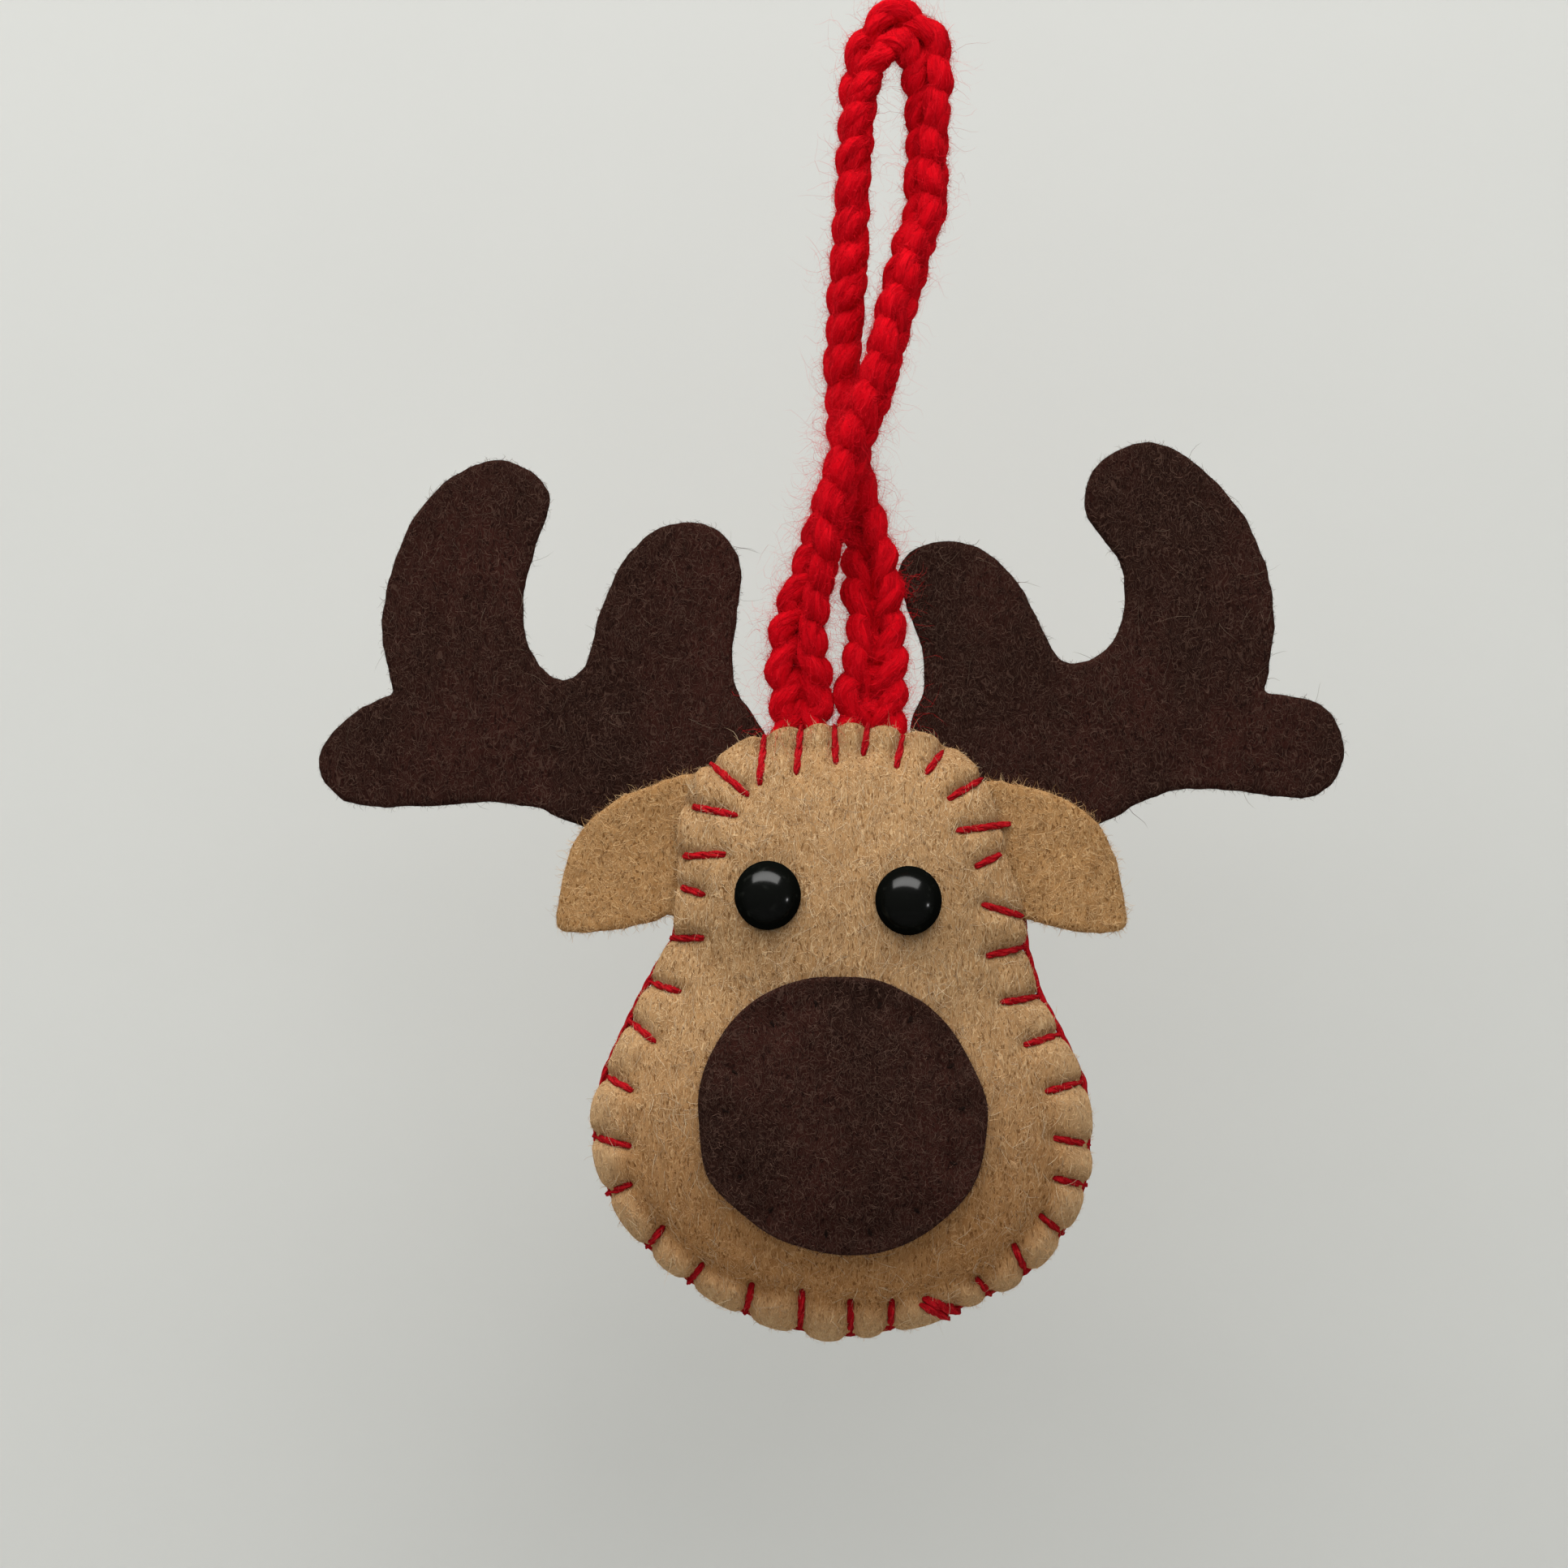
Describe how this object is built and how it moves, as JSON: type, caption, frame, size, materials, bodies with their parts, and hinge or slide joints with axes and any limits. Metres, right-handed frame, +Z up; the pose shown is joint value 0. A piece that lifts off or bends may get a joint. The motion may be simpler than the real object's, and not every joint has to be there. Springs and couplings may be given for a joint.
{
  "type": "felt hanging ornament",
  "caption": "Stuffed felt reindeer-head ornament with felt ears and antlers, domed plastic eyes, blanket-stitched edge and a crocheted hanging loop.",
  "frame": {"origin": "inside of the loop's top bend, where a hook or twig bears", "axes": "+Z up along the hanging ornament, -Y out of the face, +X to the right as seen from the front"},
  "size_m": [0.1266, 0.0258, 0.1637],
  "materials": {
    "tan_felt": "fuzzy caramel felt",
    "brown_felt": "dark brown felt",
    "red_floss": "stranded cotton, soft sheen",
    "red_yarn": "fuzzy plied yarn",
    "fibre_fill": "loose white fibre",
    "black_plastic": "polished",
    "white_plastic": "moulded satin"
  },
  "bodies": {
    "loop": {"hanging_loop": "red_yarn"},
    "head": {"front_panel": "tan_felt", "back_panel": "tan_felt", "stuffing": "fibre_fill", "nose": "brown_felt", "ear_left": "tan_felt", "ear_right": "tan_felt", "antler_left": "brown_felt", "antler_right": "brown_felt", "edge_thread": "red_floss", "eye_left": "black_plastic", "eye_right": "black_plastic", "eye_washer_left": "white_plastic", "eye_washer_right": "white_plastic", "loop_end_left": "red_yarn", "loop_end_right": "red_yarn"}
  },
  "joints": [
    {"name": "head_swing", "type": "hinge", "parent": "loop", "child": "head", "pos_m": [-0.0072, 0, -0.0778], "axis": [1, 0, 0], "range_deg": [-80, 80]}
  ]
}
